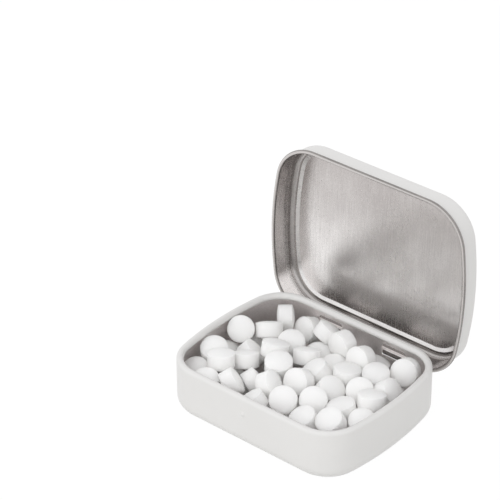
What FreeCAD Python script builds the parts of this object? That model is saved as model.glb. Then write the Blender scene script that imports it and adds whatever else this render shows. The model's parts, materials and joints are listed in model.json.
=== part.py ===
import FreeCAD
import Part
import Sketcher
import math
import os
import random

# Frame: +Z up, millimetres. Origin under the middle of the base, on the table.
# The tin's length runs along X, its front faces -Y and the hinge is at +Y.
doc = FreeCAD.newDocument("MintTin")
sheet = doc.addObject("Spreadsheet::Sheet", "Sizes")

driving = [
    ("baseHalfLength", 28.4),
    ("baseHalfWidth", 22.26),
    ("baseCorner", 9.86),
    ("baseEndRadius", 86.0),
    ("baseHeight", 14.4),
    ("metal", 0.25),
    ("floorBend", 3.6),
    ("rimRoll", 0.91),
    ("lidAir", 0.72),
    ("lidHeadroom", 0.15),
    ("lidDepth", 7.1),
    ("lidShoulder", 1.63),
    ("panelInset", 1.75),
    ("panelSlope", 1.05),
    ("panelRise", 0.24),
    ("beadRadius", 0.5),
    ("hingeSpacing", 20.2),
    ("hingeShift", 0.8),
    ("hingeOut", 0.70),
    ("hingeDrop", 0.64),
    ("pinRadius", 0.70),
    ("pinClearance", 0.08),
    ("tongueWidth", 7.0),
    ("tongueSide", 0.3),
    ("earWidth", 0.8),
    ("earHalfHeight", 0.45),
    ("notchAir", 0.3),
    ("windowLow", 7.45),
    ("windowHigh", 10.8),
    ("windowCorner", 0.9),
    ("catchAcross", 1.5),
    ("catchRise", 0.32),
    ("catchHeight", 9.75),
    ("catchShift", -0.8),
    ("lidOpen", 92.25),
    ("mintDiameter", 6.95),
    ("mintThickness", 4.9),
    ("mintBand", 3.5),
    ("mintAir", 0.02),
    ("mintWallAir", 0.12),
]
size = {}
for row, (alias, value) in enumerate(driving, start=1):
    sheet.set("A%d" % row, alias)
    sheet.set("B%d" % row, repr(value))
    sheet.setAlias("B%d" % row, alias)
    size[alias] = value
doc.recompute()


def expr(text):
    # turns plain names into references to the sheet
    out = text
    for name in sorted(size, key=len, reverse=True):
        out = out.replace("#" + name, "Sizes." + name)
    return out


def value(text):
    # the present value of the same text, for first guesses
    total = 0.0
    for term in text.replace("-", "+-").split("+"):
        term = term.strip()
        if not term:
            continue
        sign = 1.0
        if term.startswith("-"):
            sign = -1.0
            term = term[1:].strip()
        product = 1.0
        for factor in term.split("*"):
            factor = factor.strip()
            product *= size[factor[1:]] if factor.startswith("#") else float(factor)
        total += sign * product
    return total


def newBody(name):
    body = doc.addObject("PartDesign::Body", name)
    body.Label = name
    return body


def plane(body, role):
    for feature in body.Origin.OriginFeatures:
        if feature.Role == role:
            return feature
    raise RuntimeError("no plane " + role)


def newSketch(body, name, role, offset):
    sketch = body.newObject("Sketcher::SketchObject", name)
    sketch.AttachmentSupport = [(plane(body, role), "")]
    sketch.MapMode = "FlatFace"
    sketch.AttachmentOffset = FreeCAD.Placement(FreeCAD.Vector(0, 0, value(offset)), FreeCAD.Rotation())
    sketch.setExpression("AttachmentOffset.Base.z", expr(offset))
    return sketch


def dimension(sketch, constraint, text):
    index = sketch.addConstraint(constraint)
    sketch.setExpression("Constraints[%d]" % index, expr(text))
    return index


def outline(sketch, grow):
    # plan of the tin: straight long sides, bowed ends, round corners, all let out by one amount
    a = value("#baseHalfLength + " + grow)
    b = value("#baseHalfWidth + " + grow)
    r = value("#baseCorner + " + grow)
    big = value("#baseEndRadius + " + grow)
    up = FreeCAD.Vector(0, 0, 1)
    middle = a - big
    cy = b - r
    cx = middle + math.sqrt((big - r) ** 2 - cy ** 2)
    phi = math.atan2(cy, cx - middle)
    vec = FreeCAD.Vector
    quarter = math.pi / 2

    def arc(x, y, radius, first, last):
        return Part.ArcOfCircle(Part.Circle(vec(x, y, 0), up, radius), first, last)

    items = [
        Part.LineSegment(vec(0, b, 0), vec(cx, b, 0)),
        arc(cx, cy, r, phi, quarter),
        arc(middle, 0, big, -phi, phi),
        arc(cx, -cy, r, -quarter, -phi),
        Part.LineSegment(vec(cx, -b, 0), vec(-cx, -b, 0)),
        arc(-cx, -cy, r, math.pi + phi, math.pi + quarter),
        arc(-middle, 0, big, math.pi - phi, math.pi + phi),
        arc(-cx, cy, r, quarter, math.pi - phi),
        Part.LineSegment(vec(-cx, b, 0), vec(0, b, 0)),
    ]
    for item in items:
        sketch.addGeometry(item, False)
    tangent = [
        (0, 2, 1, 2), (1, 1, 2, 2), (2, 1, 3, 2), (3, 1, 4, 1),
        (4, 2, 5, 2), (5, 1, 6, 2), (6, 1, 7, 2), (7, 1, 8, 1),
    ]
    for first, firstEnd, second, secondEnd in tangent:
        sketch.addConstraint(Sketcher.Constraint("Tangent", first, firstEnd, second, secondEnd))
    sketch.addConstraint(Sketcher.Constraint("Coincident", 8, 2, 0, 1))
    sketch.addConstraint(Sketcher.Constraint("PointOnObject", 0, 1, -2))
    for line in (0, 4, 8):
        sketch.addConstraint(Sketcher.Constraint("Horizontal", line))
    for corner in (3, 5, 7):
        sketch.addConstraint(Sketcher.Constraint("Equal", 1, corner))
    sketch.addConstraint(Sketcher.Constraint("Equal", 2, 6))
    sketch.addConstraint(Sketcher.Constraint("PointOnObject", 2, 3, -1))
    sketch.addConstraint(Sketcher.Constraint("PointOnObject", 6, 3, -1))
    dimension(sketch, Sketcher.Constraint("Radius", 1, r), "#baseCorner + " + grow)
    dimension(sketch, Sketcher.Constraint("Radius", 2, big), "#baseEndRadius + " + grow)
    dimension(sketch, Sketcher.Constraint("DistanceY", -1, 1, 0, 1, b), "#baseHalfWidth + " + grow)
    dimension(sketch, Sketcher.Constraint("DistanceY", 4, 1, -1, 1, b), "#baseHalfWidth + " + grow)
    bowCentre = "#baseEndRadius - #baseHalfLength"
    dimension(sketch, Sketcher.Constraint("DistanceX", 2, 3, -1, 1, big - a), bowCentre)
    dimension(sketch, Sketcher.Constraint("DistanceX", -1, 1, 6, 3, big - a), bowCentre)


def pad(body, sketch, length, backward=False):
    feature = body.newObject("PartDesign::Pad", sketch.Name + "Pad")
    feature.Profile = sketch
    feature.setExpression("Length", expr(length))
    feature.Reversed = backward
    return feature


def pocket(body, sketch, depth, backward=False):
    feature = body.newObject("PartDesign::Pocket", sketch.Name + "Pocket")
    feature.Profile = sketch
    feature.setExpression("Length", expr(depth))
    feature.Reversed = backward
    return feature


# how flat an edge or face is, and how near its height, to be picked
flat = 0.001
level = 0.01


def edgesAt(shape, height):
    # names of the edges that lie flat at one height
    names = []
    for index, edge in enumerate(shape.Edges, start=1):
        box = edge.BoundBox
        if box.ZLength < flat and abs(box.ZMin - height) < level:
            names.append("Edge%d" % index)
    return names


def roundOff(body, name, base, height, radius):
    doc.recompute()
    feature = body.newObject("PartDesign::Fillet", name)
    feature.Base = (base, edgesAt(base.Shape, value(height)))
    feature.setExpression("Radius", expr(radius))
    return feature


def rollProfile(sketch, y, z, radius, first, last):
    # a strip of the metal rolled round a centre, from one angle to another
    inner = radius + " - #metal"
    up = FreeCAD.Vector(0, 0, 1)
    centre = FreeCAD.Vector(value(y), value(z), 0)
    start = math.radians(first)
    stop = math.radians(last)
    sketch.addGeometry(Part.ArcOfCircle(Part.Circle(centre, up, value(radius)), start, stop), False)
    sketch.addGeometry(Part.ArcOfCircle(Part.Circle(centre, up, value(inner)), start, stop), False)

    def at(r, angle):
        return centre + FreeCAD.Vector(r * math.cos(angle), r * math.sin(angle), 0)

    sketch.addGeometry(Part.LineSegment(at(value(inner), start), at(value(radius), start)), False)
    sketch.addGeometry(Part.LineSegment(at(value(radius), stop), at(value(inner), stop)), False)
    sketch.addConstraint(Sketcher.Constraint("Coincident", 0, 3, 1, 3))
    sketch.addConstraint(Sketcher.Constraint("Coincident", 2, 1, 1, 1))
    sketch.addConstraint(Sketcher.Constraint("Coincident", 2, 2, 0, 1))
    sketch.addConstraint(Sketcher.Constraint("Coincident", 3, 1, 0, 2))
    sketch.addConstraint(Sketcher.Constraint("Coincident", 3, 2, 1, 2))
    sketch.addConstraint(Sketcher.Constraint("PointOnObject", 0, 3, 2))
    sketch.addConstraint(Sketcher.Constraint("PointOnObject", 0, 3, 3))
    sketch.addConstraint(Sketcher.Constraint("Horizontal", 2))
    sketch.addConstraint(Sketcher.Constraint("Angle", 3, math.radians(last + 180)))
    dimension(sketch, Sketcher.Constraint("Radius", 0, value(radius)), radius)
    dimension(sketch, Sketcher.Constraint("Radius", 1, value(inner)), inner)
    dimension(sketch, Sketcher.Constraint("DistanceX", -1, 1, 0, 3, value(y)), y)
    dimension(sketch, Sketcher.Constraint("DistanceY", -1, 1, 0, 3, value(z)), z)


def sweepRound(body, name, profile, path):
    feature = body.newObject("PartDesign::AdditivePipe", name)
    feature.Profile = profile
    feature.Spine = (path, ["Edge%d" % (i + 1) for i in range(9)])
    return feature


def faceAt(shape, height):
    # name of the flat face at one height
    for index, face in enumerate(shape.Faces, start=1):
        box = face.BoundBox
        if box.ZLength < flat and abs(box.ZMin - height) < level:
            return "Face%d" % index
    raise RuntimeError("no face at %.3f" % height)


def shell(body, name, solid, height):
    # leaves the metal's thickness inside a solid and opens it at one flat face
    doc.recompute()
    feature = body.newObject("PartDesign::Thickness", name)
    feature.Base = (solid, [faceAt(solid.Shape, value(height))])
    feature.setExpression("Value", expr("#metal"))
    feature.Reversed = True
    return feature


# degrees that the rolled edges run through, from the outside, and where the hinge roll ends
rimCurl = (0, 325)
beadCurl = (180, 450)
tongueMouth = 235

hingeY = "#baseHalfWidth + #hingeOut"
beadLow = "#baseHeight + #lidHeadroom + #metal - #lidDepth"
hingeZ = beadLow + " + #hingeDrop"
windowHalf = "0.5 * #tongueWidth + #tongueSide"
earHalf = windowHalf + " + #earWidth"
notchHalf = earHalf + " + #notchAir"
hinges = [
    ("Left", "#hingeShift - 0.5 * #hingeSpacing"),
    ("Right", "#hingeShift + 0.5 * #hingeSpacing"),
]


def minus(text):
    # the same sum with every sign turned round
    turned = text.replace(" + ", " ? ").replace(" - ", " + ").replace(" ? ", " - ")
    return "0 - " + turned


def rectangle(sketch, left, right, low, high):
    x0, x1, z0, z1 = value(left), value(right), value(low), value(high)
    corners = [(x0, z0), (x1, z0), (x1, z1), (x0, z1)]
    first = sketch.GeometryCount
    for index in range(4):
        start = FreeCAD.Vector(*corners[index], 0)
        stop = FreeCAD.Vector(*corners[(index + 1) % 4], 0)
        sketch.addGeometry(Part.LineSegment(start, stop), False)
    for index in range(4):
        following = first + (index + 1) % 4
        sketch.addConstraint(Sketcher.Constraint("Coincident", first + index, 2, following, 1))
    for index, kind in enumerate(("Horizontal", "Vertical", "Horizontal", "Vertical")):
        sketch.addConstraint(Sketcher.Constraint(kind, first + index))
    dimension(sketch, Sketcher.Constraint("DistanceX", -1, 1, first, 1, x0), left)
    dimension(sketch, Sketcher.Constraint("DistanceX", -1, 1, first, 2, x1), right)
    dimension(sketch, Sketcher.Constraint("DistanceY", -1, 1, first, 1, z0), low)
    dimension(sketch, Sketcher.Constraint("DistanceY", -1, 1, first + 2, 1, z1), high)


def archedSlot(sketch, left, right, low, high, corner):
    # an upright opening with round upper corners
    x0, x1, z0, z1 = value(left), value(right), value(low), value(high)
    c = value(corner)
    vec = FreeCAD.Vector
    up = vec(0, 0, 1)
    first = sketch.GeometryCount
    sketch.addGeometry(Part.LineSegment(vec(x0, z0, 0), vec(x1, z0, 0)), False)
    sketch.addGeometry(Part.LineSegment(vec(x1, z0, 0), vec(x1, z1 - c, 0)), False)
    sketch.addGeometry(Part.ArcOfCircle(Part.Circle(vec(x1 - c, z1 - c, 0), up, c), 0, math.pi / 2), False)
    sketch.addGeometry(Part.LineSegment(vec(x1 - c, z1, 0), vec(x0 + c, z1, 0)), False)
    bend = Part.Circle(vec(x0 + c, z1 - c, 0), up, c)
    sketch.addGeometry(Part.ArcOfCircle(bend, math.pi / 2, math.pi), False)
    sketch.addGeometry(Part.LineSegment(vec(x0, z1 - c, 0), vec(x0, z0, 0)), False)
    sketch.addConstraint(Sketcher.Constraint("Coincident", first, 2, first + 1, 1))
    sketch.addConstraint(Sketcher.Constraint("Coincident", first + 5, 2, first, 1))
    sketch.addConstraint(Sketcher.Constraint("Tangent", first + 1, 2, first + 2, 1))
    sketch.addConstraint(Sketcher.Constraint("Tangent", first + 2, 2, first + 3, 1))
    sketch.addConstraint(Sketcher.Constraint("Tangent", first + 3, 2, first + 4, 1))
    sketch.addConstraint(Sketcher.Constraint("Tangent", first + 4, 2, first + 5, 1))
    for index, kind in ((0, "Horizontal"), (1, "Vertical"), (3, "Horizontal"), (5, "Vertical")):
        sketch.addConstraint(Sketcher.Constraint(kind, first + index))
    sketch.addConstraint(Sketcher.Constraint("Equal", first + 2, first + 4))
    dimension(sketch, Sketcher.Constraint("Radius", first + 2, c), corner)
    dimension(sketch, Sketcher.Constraint("DistanceX", -1, 1, first, 1, x0), left)
    dimension(sketch, Sketcher.Constraint("DistanceX", -1, 1, first, 2, x1), right)
    dimension(sketch, Sketcher.Constraint("DistanceY", -1, 1, first, 1, z0), low)
    dimension(sketch, Sketcher.Constraint("DistanceY", -1, 1, first + 3, 1, z1), high)


def disc(sketch, y, z, radius):
    up = FreeCAD.Vector(0, 0, 1)
    sketch.addGeometry(Part.Circle(FreeCAD.Vector(value(y), value(z), 0), up, value(radius)), False)
    dimension(sketch, Sketcher.Constraint("Radius", 0, value(radius)), radius)
    dimension(sketch, Sketcher.Constraint("DistanceX", -1, 1, 0, 3, value(y)), y)
    dimension(sketch, Sketcher.Constraint("DistanceY", -1, 1, 0, 3, value(z)), z)


def base():
    body = newBody("tin_base")
    plan = newSketch(body, "BasePlan", "XY_Plane", "0")
    outline(plan, "0")
    wall = pad(body, plan, "#baseHeight - #rimRoll")
    bend = roundOff(body, "FloorBend", wall, "0", "#floorBend")
    shell(body, "DrawnShell", bend, "#baseHeight - #rimRoll")

    path = newSketch(body, "RimPath", "XY_Plane", "#baseHeight - #rimRoll")
    outline(path, "-1 * #rimRoll")
    section = newSketch(body, "RimSection", "YZ_Plane", "0")
    rollProfile(section, "#baseHalfWidth - #rimRoll", "#baseHeight - #rimRoll", "#rimRoll", *rimCurl)
    sweepRound(body, "RolledRim", section, path)

    # each hinge has a bar across a window of the back wall, held by an ear at either end
    for side, centre in hinges:
        ear = newSketch(body, side + "Ears", "YZ_Plane", centre + " + " + minus(earHalf))
        rectangle(ear, "#baseHalfWidth - 0.5 * #metal", hingeY,
                  hingeZ + " - #earHalfHeight", hingeZ + " + #earHalfHeight")
        pad(body, ear, "2 * (" + earHalf + ")")
    windows = newSketch(body, "HingeWindows", "XZ_Plane", minus(hingeY + " + #pinRadius"))
    for side, centre in hinges:
        archedSlot(windows, centre + " + " + minus(windowHalf), centre + " + " + windowHalf,
                   "#windowLow", "#windowHigh", "#windowCorner")
    doc.recompute()
    before = body.Shape.Volume
    pocket(body, windows, "#hingeOut + #pinRadius + 2 * #metal", backward=True)
    doc.recompute()
    if body.Shape.Volume >= before:
        raise RuntimeError("the hinge windows cut nothing")
    for side, centre in hinges:
        bar = newSketch(body, side + "Bar", "YZ_Plane", centre + " + " + minus(earHalf))
        disc(bar, hingeY, hingeZ, "#pinRadius")
        pad(body, bar, "2 * (" + earHalf + ")")
    doc.recompute()
    return body


def catch(body):
    # a small dome pressed out of the front wall, turned about its own line through the wall
    sketch = newSketch(body, "Catch", "XY_Plane", "#catchHeight")
    half = size["catchAcross"] / 2
    rise = size["catchRise"]
    radius = (half ** 2 + rise ** 2) / (2 * rise)
    x = size["catchShift"]
    foot = -size["baseHalfWidth"]
    vec = FreeCAD.Vector
    inside = foot + size["metal"] / 2
    tip = foot - rise
    up = vec(0, 0, 1)
    reach = math.asin(half / radius)
    sketch.addGeometry(Part.LineSegment(vec(x, tip, 0), vec(x, inside, 0)), False)
    sketch.addGeometry(Part.LineSegment(vec(x, inside, 0), vec(x + half, inside, 0)), False)
    sketch.addGeometry(Part.LineSegment(vec(x + half, inside, 0), vec(x + half, foot, 0)), False)
    bow = Part.Circle(vec(x, tip + radius, 0), up, radius)
    sketch.addGeometry(Part.ArcOfCircle(bow, 1.5 * math.pi, 1.5 * math.pi + reach), False)
    for first, firstEnd, second, secondEnd in ((0, 2, 1, 1), (1, 2, 2, 1), (2, 2, 3, 2), (3, 1, 0, 1)):
        sketch.addConstraint(Sketcher.Constraint("Coincident", first, firstEnd, second, secondEnd))
    sketch.addConstraint(Sketcher.Constraint("Vertical", 0))
    sketch.addConstraint(Sketcher.Constraint("Horizontal", 1))
    sketch.addConstraint(Sketcher.Constraint("Vertical", 2))
    sketch.addConstraint(Sketcher.Constraint("PointOnObject", 3, 3, 0))
    dimension(sketch, Sketcher.Constraint("DistanceX", -1, 1, 0, 1, x), "#catchShift")
    dimension(sketch, Sketcher.Constraint("DistanceX", 1, 1, 1, 2, half), "0.5 * #catchAcross")
    dimension(sketch, Sketcher.Constraint("DistanceY", 0, 1, -1, 1, -tip), "#baseHalfWidth + #catchRise")
    dimension(sketch, Sketcher.Constraint("DistanceY", 0, 2, -1, 1, -inside),
              "#baseHalfWidth - 0.5 * #metal")
    dimension(sketch, Sketcher.Constraint("DistanceY", 3, 2, -1, 1, -foot), "#baseHalfWidth")
    doc.recompute()
    dome = body.newObject("PartDesign::Revolution", "CatchDome")
    dome.Profile = sketch
    dome.ReferenceAxis = (sketch, ["Edge1"])
    dome.Angle = 360
    return dome


skirt = "#lidAir + #metal"
shoulderTop = "#baseHeight + #lidHeadroom + #metal"
beadMiddle = beadLow + " + #beadRadius"


def tongueProfile(sketch):
    # the back skirt's metal goes down and is rolled round the bar, leaving a mouth at the upper inside
    vec = FreeCAD.Vector
    up = vec(0, 0, 1)
    y, z = value(hingeY), value(hingeZ)
    inner = value("#pinRadius + #pinClearance")
    outer = inner + size["metal"]
    near = value("#baseHalfWidth + #lidAir")
    far = near + size["metal"]
    top = value(hingeZ + " + #pinRadius + #notchAir + 3 * #metal")
    mouth = math.radians(tongueMouth)
    centre = vec(y, z, 0)
    innerTop = math.acos((near - y) / inner)
    outerTop = math.acos((far - y) / outer)

    def at(r, angle):
        return centre + vec(r * math.cos(angle), r * math.sin(angle), 0)

    sketch.addGeometry(Part.LineSegment(at(inner, innerTop), vec(near, top, 0)), False)
    sketch.addGeometry(Part.LineSegment(vec(near, top, 0), vec(far, top, 0)), False)
    sketch.addGeometry(Part.LineSegment(vec(far, top, 0), at(outer, outerTop)), False)
    outside = Part.Circle(centre, up, outer)
    inside = Part.Circle(centre, up, inner)
    sketch.addGeometry(Part.ArcOfCircle(outside, mouth, outerTop + math.tau), False)
    sketch.addGeometry(Part.LineSegment(at(outer, mouth), at(inner, mouth)), False)
    sketch.addGeometry(Part.ArcOfCircle(inside, mouth, innerTop + math.tau), False)
    joins = ((0, 2, 1, 1), (1, 2, 2, 1), (2, 2, 3, 2), (3, 1, 4, 1), (4, 2, 5, 1), (5, 2, 0, 1))
    for first, firstEnd, second, secondEnd in joins:
        sketch.addConstraint(Sketcher.Constraint("Coincident", first, firstEnd, second, secondEnd))
    sketch.addConstraint(Sketcher.Constraint("Coincident", 3, 3, 5, 3))
    sketch.addConstraint(Sketcher.Constraint("Vertical", 0))
    sketch.addConstraint(Sketcher.Constraint("Horizontal", 1))
    sketch.addConstraint(Sketcher.Constraint("Vertical", 2))
    sketch.addConstraint(Sketcher.Constraint("Angle", 4, mouth + math.pi))
    sketch.addConstraint(Sketcher.Constraint("PointOnObject", 3, 3, 4))
    dimension(sketch, Sketcher.Constraint("Radius", 5, inner), "#pinRadius + #pinClearance")
    dimension(sketch, Sketcher.Constraint("Radius", 3, outer), "#pinRadius + #pinClearance + #metal")
    dimension(sketch, Sketcher.Constraint("DistanceX", -1, 1, 3, 3, y), hingeY)
    dimension(sketch, Sketcher.Constraint("DistanceY", -1, 1, 3, 3, z), hingeZ)
    dimension(sketch, Sketcher.Constraint("DistanceX", -1, 1, 0, 2, near), "#baseHalfWidth + #lidAir")
    dimension(sketch, Sketcher.Constraint("DistanceX", -1, 1, 1, 2, far), "#baseHalfWidth + " + skirt)
    dimension(sketch, Sketcher.Constraint("DistanceY", -1, 1, 0, 2, top),
              hingeZ + " + #pinRadius + #notchAir + 3 * #metal")


def lid():
    # drawn in its closed place, then swung open about the hinge bars
    body = newBody("tin_lid")
    plan = newSketch(body, "LidPlan", "XY_Plane", beadMiddle)
    outline(plan, skirt)
    block = pad(body, plan, "#lidDepth - #beadRadius")
    crown = roundOff(body, "Shoulder", block, shoulderTop, "#lidShoulder")
    doc.recompute()
    lower = newSketch(body, "PanelFoot", "XY_Plane", shoulderTop)
    outline(lower, skirt + " - #panelInset")
    upper = newSketch(body, "PanelTop", "XY_Plane", shoulderTop + " + #panelRise")
    outline(upper, skirt + " - #panelInset - #panelSlope")
    panel = body.newObject("PartDesign::AdditiveLoft", "Panel")
    panel.Profile = lower
    panel.Sections = [upper]
    panel.Ruled = True
    shell(body, "DrawnLid", panel, beadMiddle)

    path = newSketch(body, "BeadPath", "XY_Plane", beadMiddle)
    outline(path, "#lidAir + #beadRadius")
    section = newSketch(body, "BeadSection", "YZ_Plane", "0")
    rollProfile(section, "#baseHalfWidth + #lidAir + #beadRadius", beadMiddle, "#beadRadius",
                *beadCurl)
    sweepRound(body, "EdgeBead", section, path)

    clear = "#baseHalfWidth + #lidAir + 4 * #beadRadius"
    notches = newSketch(body, "HingeNotches", "XZ_Plane", minus(clear))
    for side, centre in hinges:
        rectangle(notches, centre + " + " + minus(notchHalf), centre + " + " + notchHalf,
                  beadLow + " - #beadRadius", hingeZ + " + #pinRadius + #notchAir")
    doc.recompute()
    before = body.Shape.Volume
    pocket(body, notches, "6 * #beadRadius", backward=True)
    doc.recompute()
    if body.Shape.Volume >= before:
        raise RuntimeError("the hinge notches cut nothing")
    for side, centre in hinges:
        tongue = newSketch(body, side + "Tongue", "YZ_Plane", centre + " - 0.5 * #tongueWidth")
        tongueProfile(tongue)
        pad(body, tongue, "#tongueWidth")
    doc.recompute()
    return body


def swing(body, degrees):
    axis = FreeCAD.Vector(0, value(hingeY), value(hingeZ))
    turn = FreeCAD.Rotation(FreeCAD.Vector(1, 0, 0), -degrees)
    body.Placement = FreeCAD.Placement(axis - turn.multVec(axis), turn)


def mint(name):
    # a tablet with a straight band and two domed faces, turned about its own Z axis
    body = newBody(name)
    sketch = newSketch(body, name + "Half", "XZ_Plane", "0")
    r = size["mintDiameter"] / 2
    band = size["mintBand"] / 2
    tall = size["mintThickness"] / 2
    dome = tall - band
    radius = (r ** 2 + dome ** 2) / (2 * dome)
    reach = math.asin(r / radius)
    vec = FreeCAD.Vector
    up = vec(0, 0, 1)
    quarter = math.pi / 2
    upper = Part.Circle(vec(0, tall - radius, 0), up, radius)
    lower = Part.Circle(vec(0, radius - tall, 0), up, radius)
    sketch.addGeometry(Part.LineSegment(vec(0, tall, 0), vec(0, -tall, 0)), False)
    sketch.addGeometry(Part.ArcOfCircle(lower, 3 * quarter, 3 * quarter + reach), False)
    sketch.addGeometry(Part.LineSegment(vec(r, -band, 0), vec(r, band, 0)), False)
    sketch.addGeometry(Part.ArcOfCircle(upper, quarter - reach, quarter), False)
    for first, firstEnd, second, secondEnd in ((0, 2, 1, 1), (1, 2, 2, 1), (2, 2, 3, 1), (3, 2, 0, 1)):
        sketch.addConstraint(Sketcher.Constraint("Coincident", first, firstEnd, second, secondEnd))
    sketch.addConstraint(Sketcher.Constraint("PointOnObject", 0, 1, -2))
    sketch.addConstraint(Sketcher.Constraint("PointOnObject", 0, 2, -2))
    sketch.addConstraint(Sketcher.Constraint("PointOnObject", 1, 3, -2))
    sketch.addConstraint(Sketcher.Constraint("PointOnObject", 3, 3, -2))
    sketch.addConstraint(Sketcher.Constraint("Symmetric", 2, 1, 2, 2, -1))
    dimension(sketch, Sketcher.Constraint("DistanceX", -1, 1, 2, 1, r), "0.5 * #mintDiameter")
    dimension(sketch, Sketcher.Constraint("DistanceY", 2, 1, 2, 2, 2 * band), "#mintBand")
    dimension(sketch, Sketcher.Constraint("DistanceY", -1, 1, 0, 1, tall), "0.5 * #mintThickness")
    dimension(sketch, Sketcher.Constraint("DistanceY", 0, 2, -1, 1, tall), "0.5 * #mintThickness")
    turned = body.newObject("PartDesign::Revolution", name + "Turn")
    turned.Profile = sketch
    turned.ReferenceAxis = (sketch, ["V_Axis"])
    turned.Angle = 360
    return body


def axisOf(lean, heading):
    # the way a tablet's axis points: leaning from upright, towards a heading in plan
    a = math.radians(lean)
    b = math.radians(heading)
    return (math.sin(a) * math.cos(b), math.sin(a) * math.sin(b), math.cos(a))


# The way the eye looks down on the open tin. The mints that show were read along it: each may
# settle to another height, and then slides along this line so that it stays where it was seen.
sight = (-0.554, 0.644, -0.528)
# half the length, half the width and the height of the tin that the places below were read in
readTin = (28.4, 22.26, 14.4)
# mints that show: place in plan, lean and heading of the axis in degrees, height of the middle
seen = [
    (-22.0, -14.5, 30, -80, 8.0),
    (-9.3, -15.5, 20, 40, 8.0),
    (11.0, 15.0, 20, 60, 9.5),
    (8.5, 6.0, 10, 90, 9.5),
    (15.0, -5.0, 15, 200, 9.5),
    (-6.5, 18.0, 40, 60, 9.8),
    (-22.5, -2.5, 30, 0, 8.0),
    (-10.0, 7.0, 25, -60, 10.5),
    (21.0, 6.0, 53, 15, 10.5),
    (23.5, -6.5, 30, -40, 10.0),
    (-17.0, -15.5, 30, -60, 8.5),
    (10.5, -2.0, 36, -8, 10.8),
    (-2.0, -15.5, 35, -160, 9.0),
    (12.2, -14.5, 25, -120, 9.5),
    (17.5, -10.5, 30, -100, 10.0),
    (4.0, 1.0, 30, -140, 11.0),
    (-2.5, 5.0, 25, 120, 11.0),
    (-17.5, 6.0, 32, 130, 11.0),
    (-11.0, 2.5, 20, 100, 11.0),
    (5.0, 5.5, 20, -40, 11.2),
    (-11.0, -14.0, 60, 50, 11.2),
    (-23.5, -7.5, 25, -51, 10.8),
    (-23.0, 3.0, 54, -51, 11.3),
    (16.0, 8.5, 19, -52, 11.3),
    (21.0, -1.5, 15, 120, 11.3),
    (-6.5, -12.0, 64, 59, 11.3),
    (-12.0, -7.5, 25, 130, 11.3),
    (-17.0, -12.0, 12, 130, 11.5),
    (-17.5, 14.5, 90, 40, 11.5),
    (0.0, 14.5, 85, -100, 11.5),
    (8.0, 13.0, 70, -95, 11.5),
    (19.5, 14.0, 65, -75, 11.5),
    (16.5, 1.0, 50, -60, 11.5),
    (5.5, -13.0, 45, -60, 11.5),
    (-2.5, -9.5, 57, 22, 11.5),
    (-15.5, -2.5, 46, 46, 11.5),
    (-6.5, -2.0, 15, -50, 11.5),
    (1.5, -5.0, 61, -90, 11.8),
    (-8.5, 13.5, 66, -101, 12.0),
    (11.5, -9.5, 50, -51, 12.0),
    (-4.0, 10.5, 30, -60, 8.0),
]
# the bed below them: pitch of its rows in diameters, least and greatest lean in degrees
bedPitch = 0.95
bedLean = (60, 90)
bedSeed = 3


class Tablet:
    # one mint while the heap settles: its middle, its axis, and the place it was seen at
    def __init__(self, place, lean, heading, shows):
        self.place = list(place)
        self.wish = list(place)
        self.axis = axisOf(lean, heading)
        self.shows = shows
        self.pushed = 0.0


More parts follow.
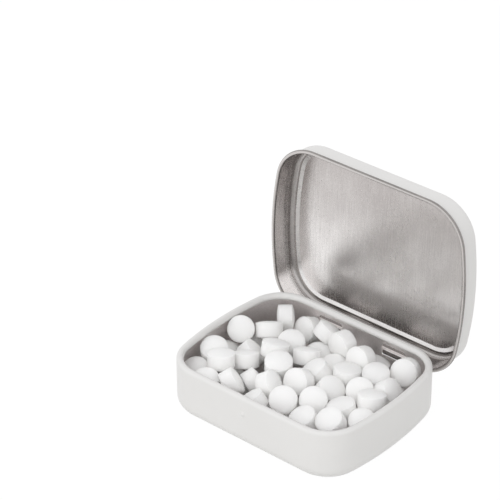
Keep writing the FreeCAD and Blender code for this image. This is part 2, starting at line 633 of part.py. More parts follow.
class Heap:
    # settles mints of fixed lean until no two overlap and all lie inside the tin
    # rounds of sinking before and after the hollows are filled, and of coming to rest
    rounds = (100, 100, 400)
    # rounds between two thinnings, and the push that takes a hidden mint out, while sinking and at rest
    thinEvery = (3, 6)
    tightness = (0.7, 0.175)
    # how much more push a mint that shows bears before a hidden one beside it is taken out
    shownBears = 4
    fallStep = 0.015
    sightPull = 0.15
    # share of a push that a hidden mint takes from one that shows
    hiddenShare = 0.7
    # pitch of the places tried in the hollows, in diameters, and their top as a share of the tin's height
    fillPitch = 0.28
    fillTop = 0.5
    squeeze = 0.6
    # a bed mint's least distance from the wall, in diameters
    bedEdge = 0.45
    calm = 0.003
    edgeSteps = 20
    # steps of the search for the least push, the first pace and how it slows
    searchSteps = 9
    searchPace = 0.25
    searchSlowing = 0.8

    def __init__(self):
        self.radius = size["mintDiameter"] / 2
        self.band = size["mintBand"] / 2
        self.tall = size["mintThickness"] / 2
        dome = self.tall - self.band
        self.domeRadius = (self.radius ** 2 + dome ** 2) / (2 * dome)
        self.back = self.domeRadius - self.tall
        self.capCosine = math.sqrt(1 - (self.radius / self.domeRadius) ** 2)
        self.reach = 2 * math.hypot(self.radius, self.band)
        self.mints = []

    def newMint(self, place, lean, heading, shows):
        mint = Tablet(place, lean, heading, shows)
        mint.points = self.edgePoints(mint.axis)
        return mint

    def support(self, axis, way):
        # furthest point of a tablet along a direction, from its middle
        c = axis[0] * way[0] + axis[1] * way[1] + axis[2] * way[2]
        side = 1.0 if c >= 0 else -1.0
        if abs(c) >= self.capCosine:
            along = -self.back * side
            across = self.domeRadius
        else:
            across = self.radius / math.sqrt(1 - c * c)
            along = self.band * side - across * c
        return [along * axis[k] + across * way[k] for k in range(3)]

    def overlap(self, one, two):
        # least push that parts two tablets and its direction; below zero it is the gap between them
        apart = [two.place[k] - one.place[k] for k in range(3)]
        far = math.sqrt(apart[0] ** 2 + apart[1] ** 2 + apart[2] ** 2)
        if far > self.reach:
            return self.reach - far, None
        starts = [[v / far for v in apart]]
        for axis in (one.axis, two.axis):
            ahead = axis[0] * apart[0] + axis[1] * apart[1] + axis[2] * apart[2] >= 0
            starts.append(list(axis) if ahead else [-v for v in axis])
        best = None
        bestWay = None
        for way in starts:
            pace = self.searchPace
            for turn in range(self.searchSteps):
                p = self.support(one.axis, way)
                q = self.support(two.axis, way)
                slope = [p[k] + q[k] - apart[k] for k in range(3)]
                depth = slope[0] * way[0] + slope[1] * way[1] + slope[2] * way[2]
                if best is None or depth < best:
                    best = depth
                    bestWay = way
                way = [way[k] - pace * (slope[k] - depth * way[k]) for k in range(3)]
                length = math.sqrt(way[0] ** 2 + way[1] ** 2 + way[2] ** 2)
                way = [v / length for v in way]
                pace *= self.searchSlowing
        return best, bestWay

    def edgePoints(self, axis):
        # points round both edges of a tablet, and the middle of each dome, from its middle
        away = FreeCAD.Vector(*axis)
        turn = FreeCAD.Rotation(FreeCAD.Vector(0, 0, 1), away)
        points = [away * self.tall, away * -self.tall]
        for step in range(self.edgeSteps):
            angle = math.tau * step / self.edgeSteps
            for height in (-self.band, self.band):
                ring = FreeCAD.Vector(self.radius * math.cos(angle), self.radius * math.sin(angle), height)
                points.append(turn.multVec(ring))
        return [(point.x, point.y, point.z) for point in points]

    def wallAt(self, x, y):
        # how far a place in plan lies inside the wall's inner face, and the way inwards
        sideX = 1.0 if x >= 0 else -1.0
        sideY = 1.0 if y >= 0 else -1.0
        x = abs(x)
        y = abs(y)
        corner = size["baseCorner"]
        bow = size["baseEndRadius"]
        middle = size["baseHalfLength"] - bow
        cornerY = size["baseHalfWidth"] - corner
        cornerX = middle + math.sqrt((bow - corner) ** 2 - cornerY ** 2)
        if x > cornerX and (y - cornerY) * (cornerX - middle) > (x - cornerX) * cornerY:
            far = math.hypot(x - cornerX, y - cornerY)
            depth = corner - far
            way = ((cornerX - x) / far, (cornerY - y) / far)
        else:
            far = math.hypot(x - middle, y)
            depth = bow - far
            way = ((middle - x) / far, -y / far)
            if size["baseHalfWidth"] - y < depth:
                depth = size["baseHalfWidth"] - y
                way = (0.0, -1.0)
        return depth - size["metal"] - size["mintWallAir"], (way[0] * sideX, way[1] * sideY)

    def pushInside(self, x, y, z):
        # move that brings a point in from the wall, the floor's bend, the rolled rim and the closed lid
        floor = size["metal"] + size["mintWallAir"]
        bend = size["floorBend"] - floor
        lip = 2 * size["rimRoll"] - size["metal"]
        under = size["baseHeight"] - 2 * size["rimRoll"] - size["mintWallAir"]
        depth, way = self.wallAt(x, y)
        inward = max(-depth, 0.0)
        lift = max(floor - z, 0.0)
        if z < size["floorBend"] and depth < bend:
            across = bend - depth
            down = size["floorBend"] - z
            far = math.hypot(across, down)
            if far > bend:
                inward = (far - bend) * across / far
                lift = (far - bend) * down / far
        elif z > under and 0 < depth < lip:
            if z - under < lip - depth:
                lift = under - z
            else:
                inward = lip - depth
        if z > size["baseHeight"]:
            lift = size["baseHeight"] - z
        return way[0] * inward, way[1] * inward, lift

    def keepInside(self, mint):
        worst = 0.0
        for point in mint.points:
            push = self.pushInside(*[mint.place[k] + point[k] for k in range(3)])
            worst = max(worst, abs(push[0]), abs(push[1]), abs(push[2]))
            mint.place = [mint.place[k] + push[k] for k in range(3)]
        return worst

    def drift(self, mint, pull, fall):
        # lets a mint sink, and draws one that shows back to the line it was seen on
        mint.pushed = 0.0
        mint.place[2] -= fall
        if mint.shows:
            off = [mint.wish[k] - mint.place[k] for k in range(3)]
            along = sum(off[k] * sight[k] for k in range(3))
            for k in range(3):
                mint.place[k] += pull * (off[k] - along * sight[k])

    def part(self, one, two):
        # pushes two mints apart; one that shows gives way less than a hidden one
        depth, way = self.overlap(one, two)
        push = depth + size["mintAir"]
        if push <= 0 or way is None:
            return 0.0
        share = 0.5
        if one.shows != two.shows:
            share = 1 - self.hiddenShare if one.shows else self.hiddenShare
        for k in range(3):
            one.place[k] -= way[k] * push * share
            two.place[k] += way[k] * push * (1 - share)
        one.pushed += push
        two.pushed += push
        return push

    def relax(self, pull, fall):
        # one round over all mints; returns the largest push
        worst = 0.0
        for mint in self.mints:
            self.drift(mint, pull, fall)
        for index, one in enumerate(self.mints):
            for two in self.mints[index + 1:]:
                if abs(one.place[0] - two.place[0]) < self.reach:
                    if abs(one.place[1] - two.place[1]) < self.reach:
                        worst = max(worst, self.part(one, two))
        for mint in self.mints:
            push = self.keepInside(mint)
            mint.pushed += push
            worst = max(worst, push)
        return worst

    def thin(self, limit):
        # takes out the hidden mint that is squeezed most, or else the nearest to a tight one that shows
        hidden = [mint for mint in self.mints if not mint.shows]
        if not hidden:
            return
        tight = max(self.mints, key=lambda mint: mint.pushed)
        worst = max(hidden, key=lambda mint: mint.pushed)
        nearest = min(hidden, key=lambda mint: math.dist(mint.place, tight.place))
        if worst.pushed > limit:
            self.mints.remove(worst)
        elif tight.pushed > self.shownBears * limit and math.dist(nearest.place, tight.place) < self.reach:
            self.mints.remove(nearest)

    def crowding(self, mint):
        # deepest overlap of a mint with the others and with the tin
        place = list(mint.place)
        worst = self.keepInside(mint)
        mint.place = place
        for other in self.mints:
            if worst > self.squeeze:
                break
            if abs(mint.place[0] - other.place[0]) < self.reach:
                worst = max(worst, self.overlap(mint, other)[0])
        return worst

    def rows(self, length, pitch):
        count = int(length / pitch) + 1
        return range(-count, count + 1)

    def layBed(self, chance):
        # a layer of tilted mints on the floor
        pitch = bedPitch * size["mintDiameter"]
        for row in self.rows(size["baseHalfWidth"], pitch):
            for place in self.rows(size["baseHalfLength"], pitch):
                x = (place + 0.5 * (row % 2)) * pitch
                y = row * pitch * math.sin(math.pi / 3)
                if self.wallAt(x, y)[0] > self.bedEdge * size["mintDiameter"]:
                    spot = (x, y, size["metal"] + self.radius)
                    lean = chance.uniform(*bedLean)
                    self.mints.append(self.newMint(spot, lean, chance.uniform(0, 360), False))

    def fill(self, chance):
        # lays a mint in each hollow that has room for one, up to the middle of the tin
        pitch = self.fillPitch * size["mintDiameter"]
        for level in range(1, int(self.fillTop * size["baseHeight"] / pitch) + 1):
            for row in self.rows(size["baseHalfWidth"], pitch):
                for place in self.rows(size["baseHalfLength"], pitch):
                    spot = (place * pitch, row * pitch, level * pitch)
                    if self.wallAt(spot[0], spot[1])[0] < self.band:
                        continue
                    mint = self.newMint(spot, chance.uniform(0, 90), chance.uniform(0, 360), False)
                    if self.crowding(mint) < self.squeeze:
                        self.mints.append(mint)

    def sink(self, rounds):
        for turn in range(rounds):
            self.relax(self.sightPull, self.fallStep)
            if turn % self.thinEvery[0] == 0:
                self.thin(self.tightness[0])

    def settle(self, chance):
        before, after, rest = self.rounds
        self.layBed(chance)
        self.sink(before)
        self.fill(chance)
        self.sink(after)
        for turn in range(rest):
            if self.relax(0.0, 0.0) < self.calm:
                return
            if turn % self.thinEvery[1] == 0:
                self.thin(self.tightness[1])
        raise RuntimeError("the mints do not come to rest")


def heapUp():
    # the mints that show, over hidden ones that carry them
    heap = Heap()
    wide = size["baseHalfLength"] / readTin[0]
    deep = size["baseHalfWidth"] / readTin[1]
    tall = size["baseHeight"] / readTin[2]
    for x, y, lean, heading, height in seen:
        heap.mints.append(heap.newMint((x * wide, y * deep, height * tall), lean, heading, True))
    heap.settle(random.Random(bedSeed))
    return heap.mints


def layMint(name, tablet):
    body = mint(name)
    turn = FreeCAD.Rotation(FreeCAD.Vector(0, 0, 1), FreeCAD.Vector(*tablet.axis))
    body.Placement = FreeCAD.Placement(FreeCAD.Vector(*tablet.place), turn)
    return body


tinBase = base()
catch(tinBase)
tinLid = lid()
swing(tinLid, size["lidOpen"])
nodes = [tinBase, tinLid]

# each mint that shows is a piece of its own, and the bed below is kept in four groups
beds = {}
for tablet in heapUp():
    if tablet.shows:
        nodes.append(layMint("mint_%02d" % (len(nodes) - 1), tablet))
    else:
        side = "left" if tablet.place[0] < 0 else "right"
        end = "front" if tablet.place[1] < 0 else "back"
        bed = beds.setdefault("mint_bed_%s_%s" % (end, side), [])
        bed.append(layMint("bed_%s_%s_%d" % (end, side, len(bed) + 1), tablet))
for name in sorted(beds):
    group = doc.addObject("Part::Compound", name)
    group.Label = name
    group.Links = beds[name]
    nodes.append(group)
doc.recompute()

for item in doc.Objects:
    if "Invalid" in item.State or "Error" in item.State:
        raise RuntimeError("%s did not build" % item.Name)
for node in nodes:
    if node.Shape.isNull() or not node.Shape.isValid():
        raise RuntimeError("%s has no valid shape" % node.Label)
os.makedirs("parts", exist_ok=True)
for node in nodes:
    node.Shape.exportStep("parts/%s.step" % node.Label)
print("wrote %d parts" % len(nodes))
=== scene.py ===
import json
import math
import random

import bmesh
import bpy
import numpy as np
from mathutils import Matrix, Vector


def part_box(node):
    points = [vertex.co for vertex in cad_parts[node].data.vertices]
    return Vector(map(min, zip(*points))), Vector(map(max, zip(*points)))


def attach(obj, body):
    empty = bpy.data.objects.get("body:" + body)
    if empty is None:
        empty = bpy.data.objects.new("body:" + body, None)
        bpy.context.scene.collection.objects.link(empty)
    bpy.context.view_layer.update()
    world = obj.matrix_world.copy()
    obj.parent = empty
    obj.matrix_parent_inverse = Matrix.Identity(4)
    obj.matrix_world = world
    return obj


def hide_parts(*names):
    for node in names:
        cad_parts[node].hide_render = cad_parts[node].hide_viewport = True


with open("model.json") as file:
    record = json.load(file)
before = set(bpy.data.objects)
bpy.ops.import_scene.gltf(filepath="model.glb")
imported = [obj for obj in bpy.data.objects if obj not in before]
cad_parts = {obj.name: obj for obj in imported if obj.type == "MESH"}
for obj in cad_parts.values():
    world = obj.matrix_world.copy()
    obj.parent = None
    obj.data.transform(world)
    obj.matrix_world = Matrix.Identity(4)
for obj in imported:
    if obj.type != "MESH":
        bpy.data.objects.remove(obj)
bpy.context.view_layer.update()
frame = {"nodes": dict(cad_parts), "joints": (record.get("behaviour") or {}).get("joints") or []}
mm = 0.001
weld = 0.002 * mm    # corners of a CAD mesh this close are one
print("frame loaded")

joint = frame["joints"][0]
hingeAt = Vector(joint["pos_m"])
swing = math.radians(joint["range_deg"][1])
shut = Matrix.Translation(hingeAt) @ Matrix.Rotation(swing, 4, "X") @ Matrix.Translation(-hingeAt)

hinges = {
    "middles": (-9.3, 10.9),   # mm along the back
    "span": 5.0,               # mm each side of a middle that is bare metal
    "edgeDrop": 0.64,          # mm from the hinge line down to the edge of the closed lid
}


def atHinge(x):
    return any(abs(x - middle * mm) < hinges["span"] * mm for middle in hinges["middles"])


def linear(hexColour):
    # sRGB hex to linear rgba
    out = []
    for start in (1, 3, 5):
        c = int(hexColour[start:start + 2], 16) / 255
        out.append(c / 12.92 if c <= 0.04045 else ((c + 0.055) / 1.055) ** 2.4)
    return (*out, 1.0)


def addNode(tree, kind, inputs, **settings):
    # one node with its settings, and its inputs linked or set
    made = tree.nodes.new(kind)
    for name, setting in settings.items():
        setattr(made, name, setting)
    for key, source in inputs.items():
        if isinstance(source, bpy.types.NodeSocket):
            tree.links.new(source, made.inputs[key])
        else:
            made.inputs[key].default_value = source
    return made


def newMaterial(name):
    # an empty material with its output and its object coordinates
    material = bpy.data.materials.new(name)
    material.use_nodes = True
    tree = material.node_tree
    tree.nodes.clear()
    output = tree.nodes.new("ShaderNodeOutputMaterial")
    place = tree.nodes.new("ShaderNodeTexCoord").outputs["Object"]
    return material, tree, output, place


def deselectAll():
    if bpy.context.object and bpy.context.object.mode != "OBJECT":
        bpy.ops.object.mode_set(mode="OBJECT")
    bpy.ops.object.select_all(action="DESELECT")


lacquer = {
    "white": "#E4E3E2",
    "shade": "#DFDEDD",
    "blotch": 9.0,          # mm, slow change of tone
    "peel": 0.35,           # mm, orange peel of sprayed and baked lacquer
    "peelDepth": 0.02,      # mm
    "peelStrength": 0.05,
    "roughness": 0.38,
    "ior": 1.5,
}


def makeLacquer():
    # white baked lacquer on tinplate: an even satin white with a faint orange peel
    material, tree, output, place = newMaterial("whiteBakedLacquer")
    blotch = addNode(tree, "ShaderNodeTexNoise", {
        "Vector": place, "Scale": 1 / (lacquer["blotch"] * mm), "Detail": 2.0})
    tone = addNode(tree, "ShaderNodeMix", {
        "Factor": blotch.outputs["Fac"], "A": linear(lacquer["white"]), "B": linear(lacquer["shade"])},
        data_type="RGBA")
    peel = addNode(tree, "ShaderNodeTexNoise", {
        "Vector": place, "Scale": 1 / (lacquer["peel"] * mm), "Detail": 1.0})
    bump = addNode(tree, "ShaderNodeBump", {
        "Height": peel.outputs["Fac"], "Strength": lacquer["peelStrength"],
        "Distance": lacquer["peelDepth"] * mm})
    shader = addNode(tree, "ShaderNodeBsdfPrincipled", {
        "Base Color": tone.outputs["Result"], "Roughness": lacquer["roughness"], "IOR": lacquer["ior"],
        "Normal": bump.outputs["Normal"]})
    tree.links.new(shader.outputs["BSDF"], output.inputs["Surface"])
    return material


tinplate = {
    "lid": {    # brushed sheet
        "tones": ("#FFFDFC", "#E2DEDD"),
        "roughness": (0.20, 0.32),
        "paintedHingeShade": "#8A8583",              # painted shade, darker by the hinge
        "paintedHingeShadeFade": (8.7, 9.3),         # mm above the table, where the painted shade ends
        "paintedTopShade": "#D3D0CF",           # painted shade, darker towards the front edge, the top of the open lid
        "paintedTopShadeFade": (16.0, 46.0),    # mm above the table, from none of this painted shade to all of it
    },
    "shoulder": {    # the drawn bend round the panel, darkened with painted shade
        "tones": ("#C6C2C0", "#A29E9C"),
        "roughness": (0.18, 0.30),
        # painted shade on the bend by the hinge, fading out between these heights
        "paintedHingeShade": "#B6B2B0",
        "paintedHingeShadeFade": (9.8, 13.0),
    },
    "step": {    # burnished by the die
        "tones": ("#F0EEED", "#D6D3D2"),
        "roughness": (0.22, 0.32),
        "rise": 0.6,                    # mm that the step to the panel seems to rise
    },
    "bead": {    # rolled edge: its dark tones are a painted dark reflection on the flanks, with a painted highlight along its crest
        "tones": ("#A5A19F", "#7E7A78"),
        "roughness": (0.18, 0.30),
        # painted highlight along the bead's crest
        "paintedCrestHighlight": "#CFCBC9",
        "paintedCrestHighlightFade": (0.05, 0.16),     # mm in from the lid's edge
    },
    "base": {    # matt inside the base
        "tones": ("#FFFBFA", "#EBE6E5"),
        "roughness": (0.40, 0.52),
    },
    "hinge": {    # painted shade: dark where the hinge lies in shadow
        "tones": ("#9A9592", "#625D5B"),
        "roughness": (0.30, 0.45),
    },
    "grain": 0.3,               # mm across one rolled streak
    "run": 9.0,                 # mm along it
    "speckle": 0.45,            # mm, matt grain of the tin coat
    "speckleShare": 0.4,
    "cloud": 12.0,              # mm, slow change of brightness
    "cloudShare": 0.4,
    "contrast": (0.35, 0.65),   # part of the pattern's range that goes from dull to bright
    "grainDepth": 0.02,         # mm
    "grainStrength": 0.12,
    "wave": 16.0,               # mm from one buckle of the thin sheet to the next
    "buckle": 0.10,             # mm, depth of a buckle
}


def fade(tree, place, along, bounds, first, second, blend="MIX"):
    # goes from the first tone to the second along a direction, between two bounds in metres
    depth = addNode(tree, "ShaderNodeVectorMath", {0: place, 1: along}, operation="DOT_PRODUCT")
    share = addNode(tree, "ShaderNodeMapRange", {
        "Value": depth.outputs["Value"], "From Min": bounds[0], "From Max": bounds[1]})
    mixed = addNode(tree, "ShaderNodeMix", {
        "Factor": share.outputs["Result"], "A": first, "B": second}, data_type="RGBA", blend_type=blend)
    return mixed.outputs["Result"]


def paintedShadeAndHighlight(tree, place, tone, sheet):
    # painted shade by the hinge, painted shade towards the lid's front edge, and a painted highlight
    # along the bead's crest
    up = (0, 0, 1)
    if "paintedHingeShade" in sheet:
        bounds = [v * mm for v in sheet["paintedHingeShadeFade"]]
        tone = fade(tree, place, up, bounds, linear(sheet["paintedHingeShade"]), tone)
    if "paintedTopShade" in sheet:
        bounds = [v * mm for v in sheet["paintedTopShadeFade"]]
        tone = fade(tree, place, up, bounds, tone, linear(sheet["paintedTopShade"]), "MULTIPLY")
    if "paintedCrestHighlight" in sheet:
        inward = (0, math.sin(swing), math.cos(swing))    # into the open lid from its edge
        edge = inward[1] * hingeAt.y + inward[2] * hingeAt.z - hinges["edgeDrop"] * mm
        bounds = [edge + v * mm for v in sheet["paintedCrestHighlightFade"]]
        tone = fade(tree, place, inward, bounds, linear(sheet["paintedCrestHighlight"]), tone)
    return tone


def makeTinplate(name, turn, kind):
    # bare tinplate as it comes from the mill: fine streaks along the rolling direction, under a
    # speckled coat
    material, tree, output, place = newMaterial(name)
    sheet = tinplate[kind]
    turned = addNode(tree, "ShaderNodeMapping", {"Vector": place, "Rotation": turn})
    across = 1 / (tinplate["grain"] * mm)
    along = addNode(tree, "ShaderNodeMapping", {
        "Vector": turned.outputs["Vector"], "Scale": (across, across, 1 / (tinplate["run"] * mm))})
    streak = addNode(tree, "ShaderNodeTexNoise", {
        "Vector": along.outputs["Vector"], "Scale": 1.0, "Detail": 3.0, "Roughness": 0.6})
    speckle = addNode(tree, "ShaderNodeTexNoise", {
        "Vector": place, "Scale": 1 / (tinplate["speckle"] * mm), "Detail": 2.0})
    cloud = addNode(tree, "ShaderNodeTexNoise", {
        "Vector": place, "Scale": 1 / (tinplate["cloud"] * mm), "Detail": 1.0})
    fine = addNode(tree, "ShaderNodeMix", {
        "Factor": tinplate["speckleShare"], "A": streak.outputs["Fac"], "B": speckle.outputs["Fac"]})
    mixed = addNode(tree, "ShaderNodeMix", {
        "Factor": tinplate["cloudShare"], "A": fine.outputs["Result"], "B": cloud.outputs["Fac"]})
    low, high = tinplate["contrast"]
    blend = addNode(tree, "ShaderNodeMapRange", {
        "Value": mixed.outputs["Result"], "From Min": low, "From Max": high})
    bright, dull = sheet["tones"]
    tone = addNode(tree, "ShaderNodeMix", {
        "Factor": blend.outputs["Result"], "A": linear(dull), "B": linear(bright)}, data_type="RGBA")
    smooth, rough = sheet["roughness"]
    roughness = addNode(tree, "ShaderNodeMapRange", {
        "Value": blend.outputs["Result"], "To Min": rough, "To Max": smooth})
    if "rise" in sheet:
        relief = addNode(tree, "ShaderNodeAttribute", {}, attribute_name="stepRise")
        depth = sheet["rise"]
    else:
        relief = addNode(tree, "ShaderNodeTexNoise", {
            "Vector": place, "Scale": 1 / (tinplate["wave"] * mm), "Detail": 0.0})
        depth = tinplate["buckle"]
    bent = addNode(tree, "ShaderNodeBump", {
        "Height": relief.outputs["Fac"], "Strength": 1.0, "Distance": depth * mm})
    bump = addNode(tree, "ShaderNodeBump", {
        "Height": fine.outputs["Result"], "Strength": tinplate["grainStrength"],
        "Distance": tinplate["grainDepth"] * mm, "Normal": bent.outputs["Normal"]})
    shader = addNode(tree, "ShaderNodeBsdfPrincipled", {
        "Base Color": paintedShadeAndHighlight(tree, place, tone.outputs["Result"], sheet), "Metallic": 1.0,
        "Roughness": roughness.outputs["Result"], "Normal": bump.outputs["Normal"]})
    tree.links.new(shader.outputs["BSDF"], output.inputs["Surface"])
    return material


chalk = {
    "white": "#FEFDFB",
    "shade": "#FAF9F7",
    "blotch": 3.0,          # mm, slow change of tone
    "grit": 0.25,           # mm, pressed sugar grain
    "gritDepth": 0.03,      # mm
    "gritStrength": 0.18,
    "roughness": 0.75,
    "ior": 1.5,
    "gloss": 0.25,          # half the shine of a smooth surface
    "lightDepth": 2.5,      # mm that light goes into the sugar
}


def makeChalk():
    # pressed sugar: a matt white with a fine grain that lets a little light in
    material, tree, output, place = newMaterial("pressedSugar")
    blotch = addNode(tree, "ShaderNodeTexNoise", {
        "Vector": place, "Scale": 1 / (chalk["blotch"] * mm), "Detail": 3.0})
    tone = addNode(tree, "ShaderNodeMix", {
        "Factor": blotch.outputs["Fac"], "A": linear(chalk["shade"]), "B": linear(chalk["white"])},
        data_type="RGBA")
    grit = addNode(tree, "ShaderNodeTexNoise", {
        "Vector": place, "Scale": 1 / (chalk["grit"] * mm), "Detail": 3.0})
    bump = addNode(tree, "ShaderNodeBump", {
        "Height": grit.outputs["Fac"], "Strength": chalk["gritStrength"],
        "Distance": chalk["gritDepth"] * mm})
    shader = addNode(tree, "ShaderNodeBsdfPrincipled", {
        "Base Color": tone.outputs["Result"], "Roughness": chalk["roughness"], "IOR": chalk["ior"],
        "Specular IOR Level": chalk["gloss"], "Subsurface Weight": 1.0, "Subsurface Radius": (1, 1, 1),
        "Subsurface Scale": chalk["lightDepth"] * mm, "Normal": bump.outputs["Normal"]})
    tree.links.new(shader.outputs["BSDF"], output.inputs["Surface"])
    return material


alongTin = (0, math.pi / 2, 0)    # turns the streaks to run along the tin
whiteLacquer = makeLacquer()
lidTin = makeTinplate("brushedTinplateLid", (swing - math.pi / 2, 0, 0), "lid")
baseTin = makeTinplate("mattTinplateBase", (math.pi / 2, 0, 0), "base")
stepTin = makeTinplate("burnishedTinplateStep", alongTin, "step")
shoulderTin = makeTinplate("shadedTinplateShoulder", alongTin, "shoulder")
beadTin = makeTinplate("beadTinplatePaintedHighlight", alongTin, "bead")
hingeTin = makeTinplate("shadedTinplateHinge", alongTin, "hinge")
sugar = makeChalk()
print("materials made")


def shellPiece(node, name, finishes):
    # a merged copy of a sheet-metal shell, with its finishes
    mesh = frame["nodes"][node].data.copy()
    mesh.name = name
    mesh.materials.clear()
    for finish in finishes:
        mesh.materials.append(finish)
    piece = bpy.data.objects.new(name, mesh)
    bpy.context.collection.objects.link(piece)
    deselectAll()
    bpy.context.view_layer.objects.active = piece
    piece.select_set(True)
    bpy.ops.object.mode_set(mode="EDIT")
    bpy.ops.mesh.select_mode(type="VERT")
    bpy.ops.mesh.select_all(action="SELECT")
    bpy.ops.mesh.remove_doubles(threshold=weld)
    bpy.ops.mesh.select_all(action="DESELECT")
    bpy.ops.object.mode_set(mode="OBJECT")
    if piece.data.has_custom_normals:
        bpy.ops.mesh.customdata_custom_splitnormals_clear()
    return piece


def smoothBends(piece, angle):
    # smooth over the bends, with large faces kept flat
    bpy.ops.object.shade_smooth_by_angle(angle=math.radians(angle))
    weighted = piece.modifiers.new("evenNormals", "WEIGHTED_NORMAL")
    weighted.keep_sharp = True
    bpy.ops.object.modifier_apply(modifier=weighted.name)


tinBase = {
    "crease": 35,                # degrees, sharper edges stay sharp
    "rimDepth": 2.1,             # mm from the top that the lacquer runs over the rolled rim
    "hingeBand": (6.8, 11.0),    # mm, height of the hinge windows
    "wall": 21.9,                # mm, just inside the back wall
    "outside": 22.3,             # mm, just outside it
    "sideways": 0.5,             # a window's cut edge faces the back less than this
}


def dressBase():
    finishes = (whiteLacquer, baseTin)
    piece = shellPiece("tin_base", "tinBaseShell", finishes)
    smoothBends(piece, tinBase["crease"])
    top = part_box("tin_base")[1].z
    middle = Vector((0, 0, top / 2))
    rim = top - tinBase["rimDepth"] * mm
    low, high = (v * mm for v in tinBase["hingeBand"])
    wall = tinBase["wall"] * mm
    outside = tinBase["outside"] * mm
    for face in piece.data.polygons:
        c = face.center
        inside = face.normal.dot(c - middle) < 0 and c.z < rim
        hinged = atHinge(c.x) and low < c.z < high and c.y > wall
        windowEdge = hinged and abs(face.normal.y) < tinBase["sideways"] and c.y < outside
        bar = hinged and c.y > outside
        face.material_index = finishes.index(baseTin if inside or windowEdge or bar else whiteLacquer)
    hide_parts("tin_base")
    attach(piece, "base")


tinLid = {
    "crease": 35,                   # degrees, sharper edges stay sharp
    "bead": 1.05,                   # mm, height of the bare edge bead
    "tongueTop": 2.4,               # mm above the lid's edge where the hinge tongues leave the skirt
    "levels": (5.47, 6.85, 7.09),   # mm above the edge, inside: shoulder, foot of the step, panel
    "flat": 0.99,                   # a face whose normal is this upright is flat
    "steep": 0.9,                   # and the step's faces are less upright, down to this
    "slack": 0.01,                  # mm past the foot of the step that still counts as shoulder
}


def markStep(piece, foot, panel):
    # keeps the edges of the step to the panel crisp, and notes its rise for the shading
    piece.data.transform(shut)
    rise = piece.data.attributes.new("stepRise", "FLOAT", "POINT")
    for vertex, item in zip(piece.data.vertices, rise.data):
        item.value = min(max((panel - vertex.co.z) / (panel - foot), 0), 1)
    bpy.ops.object.mode_set(mode="EDIT")
    bpy.ops.mesh.select_mode(type="FACE")
    bpy.ops.mesh.select_all(action="DESELECT")
    bpy.ops.object.mode_set(mode="OBJECT")
    for face in piece.data.polygons:
        sloped = -tinLid["flat"] < face.normal.z < -tinLid["steep"]
        face.select = sloped and foot < face.center.z < panel
    bpy.ops.object.mode_set(mode="EDIT")
    bpy.ops.mesh.region_to_loop()
    bpy.ops.mesh.mark_sharp()
    bpy.ops.object.mode_set(mode="OBJECT")
    piece.data.transform(shut.inverted())
    piece.data.update()


def dressLid():
    finishes = (whiteLacquer, lidTin, beadTin, hingeTin, shoulderTin, stepTin)
    piece = shellPiece("tin_lid", "tinLidShell", finishes)
    edge = hingeAt.z - hinges["edgeDrop"] * mm
    low, foot, panel = (edge + v * mm for v in tinLid["levels"])
    slack = tinLid["slack"] * mm
    markStep(piece, foot, panel)
    smoothBends(piece, tinLid["crease"])
    points = [shut @ vertex.co for vertex in piece.data.vertices]
    middle = Vector((0, 0, (max(p.z for p in points) + edge) / 2))
    turn = shut.to_3x3()
    for face in piece.data.polygons:
        c = shut @ face.center
        n = turn @ face.normal
        reach = max(points[i].z for i in face.vertices) - edge
        tongue = atHinge(c.x) and c.y > 0 and reach < tinLid["tongueTop"] * mm
        bead = reach < tinLid["bead"] * mm
        inside = n.dot(c - middle) < 0
        shoulder = inside and low < c.z < foot + slack
        step = inside and c.z > low and n.z > -tinLid["flat"]
        # the hinge tongues take painted shade, the bead a painted reflection and highlight, the shoulder
        # painted shade
        zones = ((tongue, hingeTin), (bead, beadTin), (shoulder, shoulderTin), (step, stepTin),
                 (inside, lidTin), (True, whiteLacquer))
        face.material_index = finishes.index(next(finish for fits, finish in zones if fits))
    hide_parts("tin_lid")
    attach(piece, "lid")


dressBase()
dressLid()
print("shells dressed")

mintForm = {
    "diameter": 6.95,    # mm, as the pressed tablet
    "band": 3.5,
    "thickness": 4.9,
    "crease": 20,        # degrees, sharper bends stay as pressed
    "sides": 40,
    "domeRings": 4,
    "level": 0.99,       # an end whose normal is this upright is the one to lift
    "seed": 5,           # each tablet's own turn about its axis
}


def modelMint():
    # a cylinder whose ends are inset and lifted to domes
    sides = mintForm["sides"]
    rings = mintForm["domeRings"]
    radius = mintForm["diameter"] / 2 * mm
    band = mintForm["band"] / 2 * mm
    dome = mintForm["thickness"] / 2 * mm - band
    bow = (radius ** 2 + dome ** 2) / (2 * dome)    # radius of the dome's arc
    deselectAll()
    bpy.ops.mesh.primitive_cylinder_add(vertices=sides, radius=radius, depth=2 * band,
                                        end_fill_type="NGON", location=(0, 0, 0))
    mint = bpy.context.object
    mint.name = "mintMaster"
    for side in (1, -1):
        lastRing = radius
        lastHeight = 0.0
        for k in range(rings):
            ring = radius * (1 - (k + 1) / (rings + 0.5))
            height = math.sqrt(bow ** 2 - ring ** 2) - (bow - dome)
            bpy.ops.object.mode_set(mode="OBJECT")
            for face in mint.data.polygons:
                face.select = face.normal.z * side > mintForm["level"] and len(face.vertices) == sides
            bpy.ops.object.mode_set(mode="EDIT")
            bpy.ops.mesh.select_mode(type="FACE")
            # known fault: at the first ring the new cylinder is still selected all over, so it isn't
            # inset and is lifted whole
            bpy.ops.mesh.inset(thickness=(lastRing - ring) * math.cos(math.pi / sides))
            bpy.ops.transform.translate(value=(0, 0, side * (height - lastHeight)))
            lastRing = ring
            lastHeight = height
        bpy.ops.mesh.poke()
    bpy.ops.object.mode_set(mode="OBJECT")
    bpy.ops.object.shade_smooth_by_angle(angle=math.radians(mintForm["crease"]))
    return mint


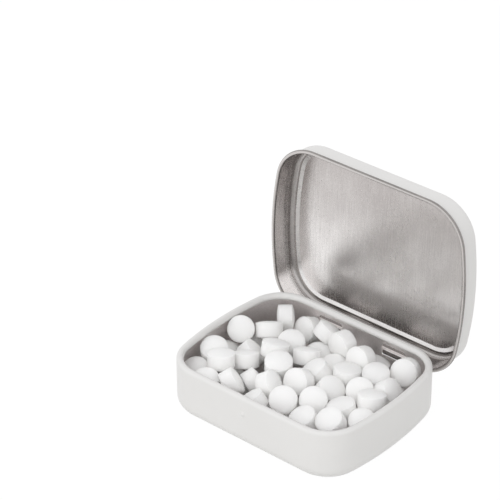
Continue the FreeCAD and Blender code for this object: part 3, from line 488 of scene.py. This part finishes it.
def tablets(node):
    # middle and axis of each tablet in a node, from its faces
    form = bmesh.new()
    form.from_mesh(frame["nodes"][node].data)
    bmesh.ops.remove_doubles(form, verts=form.verts, dist=weld)
    # known fault: a set has no fixed order, so in a group the tablets' turns differ from run to run
    left = set(form.faces)
    found = []
    while left:
        group = []
        front = [left.pop()]
        while front:
            face = front.pop()
            group.append(face)
            for edge in face.edges:
                for other in edge.link_faces:
                    if other in left:
                        left.remove(other)
                        front.append(other)
        area = np.array([face.calc_area() for face in group])
        centre = np.array([face.calc_center_median() for face in group])
        normal = np.array([face.normal for face in group])
        middle = (area[:, None] * centre).sum(0) / area.sum()
        ways = np.linalg.eigh((area[:, None, None] * normal[:, :, None] * normal[:, None, :]).sum(0))[1]
        found.append((Vector(middle), Vector(ways[:, 2])))    # the domes weigh most, so this is the axis
    form.free()
    return found


def layMints():
    master = modelMint()
    chance = random.Random(mintForm["seed"])
    for node in sorted(frame["nodes"]):
        if not node.startswith("mint"):
            continue
        heap = bmesh.new()
        for middle, axis in tablets(node):
            copy = master.data.copy()
            spin = Matrix.Rotation(chance.uniform(0, math.tau), 4, "Z")
            lean = axis.to_track_quat("Z", "Y").to_matrix().to_4x4()
            copy.transform(Matrix.Translation(middle) @ lean @ spin)
            heap.from_mesh(copy)
            bpy.data.meshes.remove(copy)
        mesh = bpy.data.meshes.new("sugar_" + node)
        heap.to_mesh(mesh)
        heap.free()
        mesh.materials.append(sugar)
        piece = bpy.data.objects.new("sugar_" + node, mesh)
        bpy.context.collection.objects.link(piece)
        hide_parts(node)
        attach(piece, "base")
    bpy.data.objects.remove(master)


layMints()
print("mints laid")

studio = {
    "floor": "#EAEAE8",
    "floorSize": 4.0,                  # m
    "floorDrop": 0.02,                 # mm below the tin's foot
    "shadow": 0.06,                    # share of the floor's own shading that shows
    "glow": 1.03,                      # the paper as it is seen, just white
    "world": 0.82,
    "softbox": (0.10, -0.75, 0.7),     # m
    "softboxSize": 0.8,                # m
    "softboxPower": 3.2,               # W
}


def seenRays(tree):
    # 1 for what is seen straight, in metal or through glass
    path = tree.nodes.new("ShaderNodeLightPath")
    seen = path.outputs["Is Camera Ray"]
    for ray in ("Is Glossy Ray", "Is Transmission Ray"):
        seen = addNode(tree, "ShaderNodeMath", {0: seen, 1: path.outputs[ray]},
                       operation="MAXIMUM").outputs["Value"]
    return seen


def makeWorld():
    world = bpy.data.worlds.new("studioWorld")
    bpy.context.scene.world = world
    world.use_nodes = True
    tree = world.node_tree
    tree.nodes.clear()
    level = addNode(tree, "ShaderNodeMapRange", {
        "Value": seenRays(tree), "To Min": studio["world"], "To Max": 1.0})
    sky = addNode(tree, "ShaderNodeBackground", {
        "Color": (1, 1, 1, 1), "Strength": level.outputs["Result"]})
    addNode(tree, "ShaderNodeOutputWorld", {"Surface": sky.outputs["Background"]})


def makeFloor():
    # white paper that keeps a faint shadow
    deselectAll()
    bpy.ops.mesh.primitive_plane_add(size=studio["floorSize"], location=(0, 0, -studio["floorDrop"] * mm))
    floor = bpy.context.object
    floor.name = "paleFloor"
    material, tree, output = newMaterial("paperSweep")[:3]
    share = addNode(tree, "ShaderNodeMath", {0: seenRays(tree), 1: 1 - studio["shadow"]},
                    operation="MULTIPLY")
    paper = addNode(tree, "ShaderNodeBsdfDiffuse", {"Color": linear(studio["floor"])})
    glow = addNode(tree, "ShaderNodeEmission", {"Color": (1, 1, 1, 1), "Strength": studio["glow"]})
    mix = addNode(tree, "ShaderNodeMixShader", {
        "Fac": share.outputs["Value"], 1: paper.outputs["BSDF"], 2: glow.outputs["Emission"]})
    tree.links.new(mix.outputs["Shader"], output.inputs["Surface"])
    floor.data.materials.append(material)


def makeSoftbox():
    lamp = bpy.data.lights.new("softbox", "AREA")
    lamp.size = studio["softboxSize"]
    lamp.energy = studio["softboxPower"]
    box = bpy.data.objects.new("softbox", lamp)
    box.location = studio["softbox"]
    box.rotation_euler = (-Vector(studio["softbox"])).to_track_quat("-Z", "Y").to_euler()
    box.visible_glossy = False    # no square of light in the metal
    bpy.context.collection.objects.link(box)


view = {
    "place": (0.29417, -0.36169, 0.33555),   # m
    "turn": (58.13, 0.28, 40.55),            # degrees
    "lens": 166.84,                          # mm
    "sensor": 36,                            # mm
    "clip": (0.01, 20),                      # m
}


def setCamera():
    camera = bpy.data.cameras.new("camera")
    camera.lens = view["lens"]
    camera.sensor_width = view["sensor"]
    camera.clip_start, camera.clip_end = view["clip"]
    holder = bpy.data.objects.new("camera", camera)
    holder.location = view["place"]
    holder.rotation_euler = [math.radians(v) for v in view["turn"]]
    bpy.context.collection.objects.link(holder)
    bpy.context.scene.camera = holder


makeWorld()
makeFloor()
makeSoftbox()
setCamera()
bpy.context.scene.view_settings.view_transform = "Standard"
print("studio set")

deselectAll()
